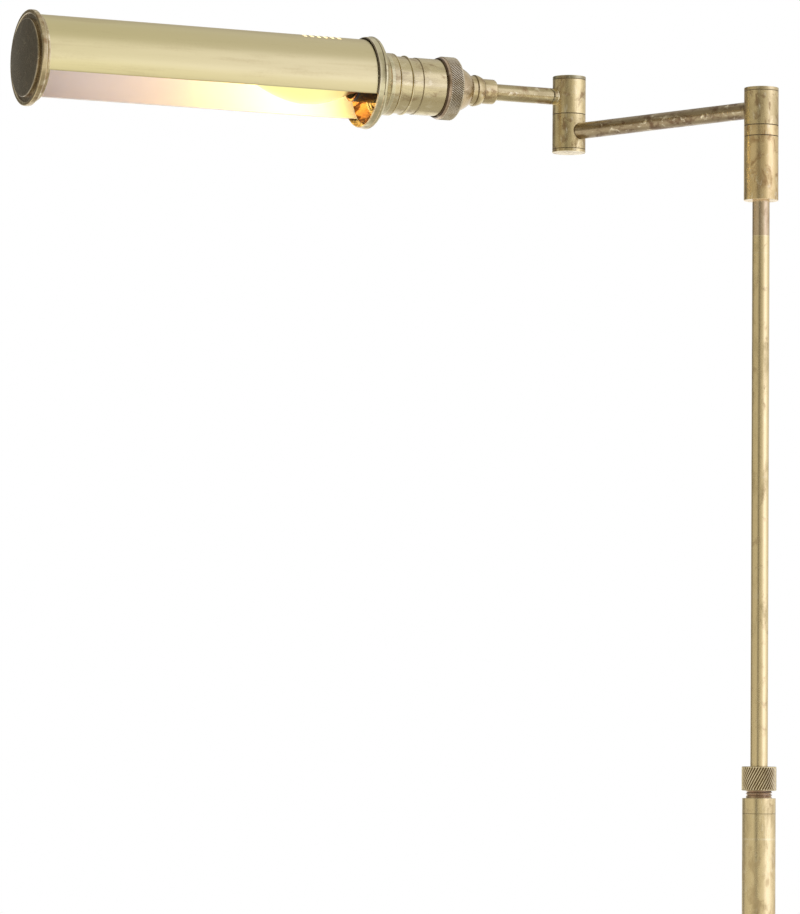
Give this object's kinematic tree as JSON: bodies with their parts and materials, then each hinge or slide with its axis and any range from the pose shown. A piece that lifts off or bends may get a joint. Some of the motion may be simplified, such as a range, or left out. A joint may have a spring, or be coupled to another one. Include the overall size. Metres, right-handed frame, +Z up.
{
  "type": "bridge floor lamp",
  "caption": "Aged brass bridge floor lamp: round base, telescoping pole with clamp nut, two swing arms, and a tubular shade open along its underside.",
  "frame": {"origin": "centre of the base's underside, on the floor and on the pole's axis", "axes": "+Z up the pole; the arms reach towards -X, and -Y is the side that the picture is taken from"},
  "size_m": [0.6903, 0.2811, 1.2081],
  "materials": {
    "aged_brass": "aged brass, mottled patina, satin",
    "shade_brass": "pale brushed brass outside, off-white enamel inside",
    "polished_brass": "aged satin outside, polished inside",
    "bright_brass": "plain machined brass",
    "zinc_steel": "zinc plated steel",
    "cast_iron": "as cast, black paint",
    "felt": "dark green felt",
    "fibre": "vulcanised fibre washer, dark",
    "black_phenolic": "black moulded phenolic",
    "bulb_glass": "clear candle bulb, lit"
  },
  "bodies": {
    "stand": {"base_pad": "felt", "base_weight": "cast_iron", "base_cover": "aged_brass", "base_washer": "zinc_steel", "base_nut": "zinc_steel", "base_nipple": "zinc_steel", "cord_inlet_bush": "bright_brass", "foot_plug": "bright_brass", "foot_collar": "aged_brass", "lower_tube": "aged_brass", "top_collar": "aged_brass"},
    "clamp_nut": {"clamp_nut": "aged_brass"},
    "collet": {"clamp_collet": "bright_brass"},
    "mast": {"rod": "aged_brass", "rod_guide": "bright_brass", "hub_sleeve": "aged_brass", "hub_grub_screw": "zinc_steel", "hub_lower_washer": "fibre", "hub_ring": "aged_brass", "hub_upper_washer": "fibre", "hub_spindle": "zinc_steel", "hub_spring_washer": "zinc_steel", "hub_spindle_nut": "zinc_steel"},
    "lower_arm": {"hub_barrel": "aged_brass", "hub_cap": "aged_brass", "lower_arm_tube": "aged_brass", "elbow_lower_barrel": "aged_brass", "elbow_bottom_cap": "aged_brass", "elbow_washer": "fibre", "elbow_spindle": "zinc_steel", "elbow_spring_washer": "zinc_steel", "elbow_spindle_nut": "zinc_steel"},
    "upper_arm": {"elbow_upper_barrel": "aged_brass", "elbow_top_cap": "aged_brass", "upper_arm_tube": "aged_brass", "neck_collar": "aged_brass", "bell": "aged_brass", "swivel_nipple": "zinc_steel", "swivel_washer": "fibre", "swivel_nut": "zinc_steel"},
    "knurled_ring": {"knurled_ring": "aged_brass"},
    "head": {"holder_shell": "aged_brass", "gallery_cup": "polished_brass", "shade_ring": "polished_brass", "shade_tube": "shade_brass", "end_cap": "aged_brass", "lampholder_body": "black_phenolic", "lampholder_skirt": "black_phenolic", "screw_contact": "bright_brass", "centre_contact": "bright_brass", "bulb_cap": "bright_brass", "bulb_tip": "bright_brass", "bulb_glass": "bulb_glass"}
  },
  "joints": [
    {"name": "clamp_turn", "type": "hinge", "parent": "stand", "child": "clamp_nut", "pos_m": [0, 0, 0.6321], "axis": [0, 0, 1], "range_deg": [0, 180]},
    {"name": "pole_turn", "type": "hinge", "parent": "stand", "child": "collet", "pos_m": [0, 0, 0.6461], "axis": [0, 0, 1], "range_deg": [-170, 170]},
    {"name": "pole_slide", "type": "slide", "parent": "collet", "child": "mast", "axis": [0, 0, 1], "range_m": [-0.39, 0.1]},
    {"name": "arm_swing", "type": "hinge", "parent": "mast", "child": "lower_arm", "pos_m": [0, 0, 1.1447], "axis": [0, 0, 1], "range_deg": [-170, 170]},
    {"name": "elbow_swing", "type": "hinge", "parent": "lower_arm", "child": "upper_arm", "pos_m": [-0.13968, 0.14314, 1.1721], "axis": [0, 0, 1], "range_deg": [-230, 90]},
    {"name": "ring_turn", "type": "hinge", "parent": "upper_arm", "child": "knurled_ring", "pos_m": [-0.23998, 0.09701, 1.1721], "axis": [-0.9085, -0.4179, 0], "range_deg": [0, 180]},
    {"name": "shade_turn", "type": "hinge", "parent": "upper_arm", "child": "head", "pos_m": [-0.24053, 0.09675, 1.1721], "axis": [-0.9085, -0.4179, 0], "range_deg": [-150, 150]}
  ]
}
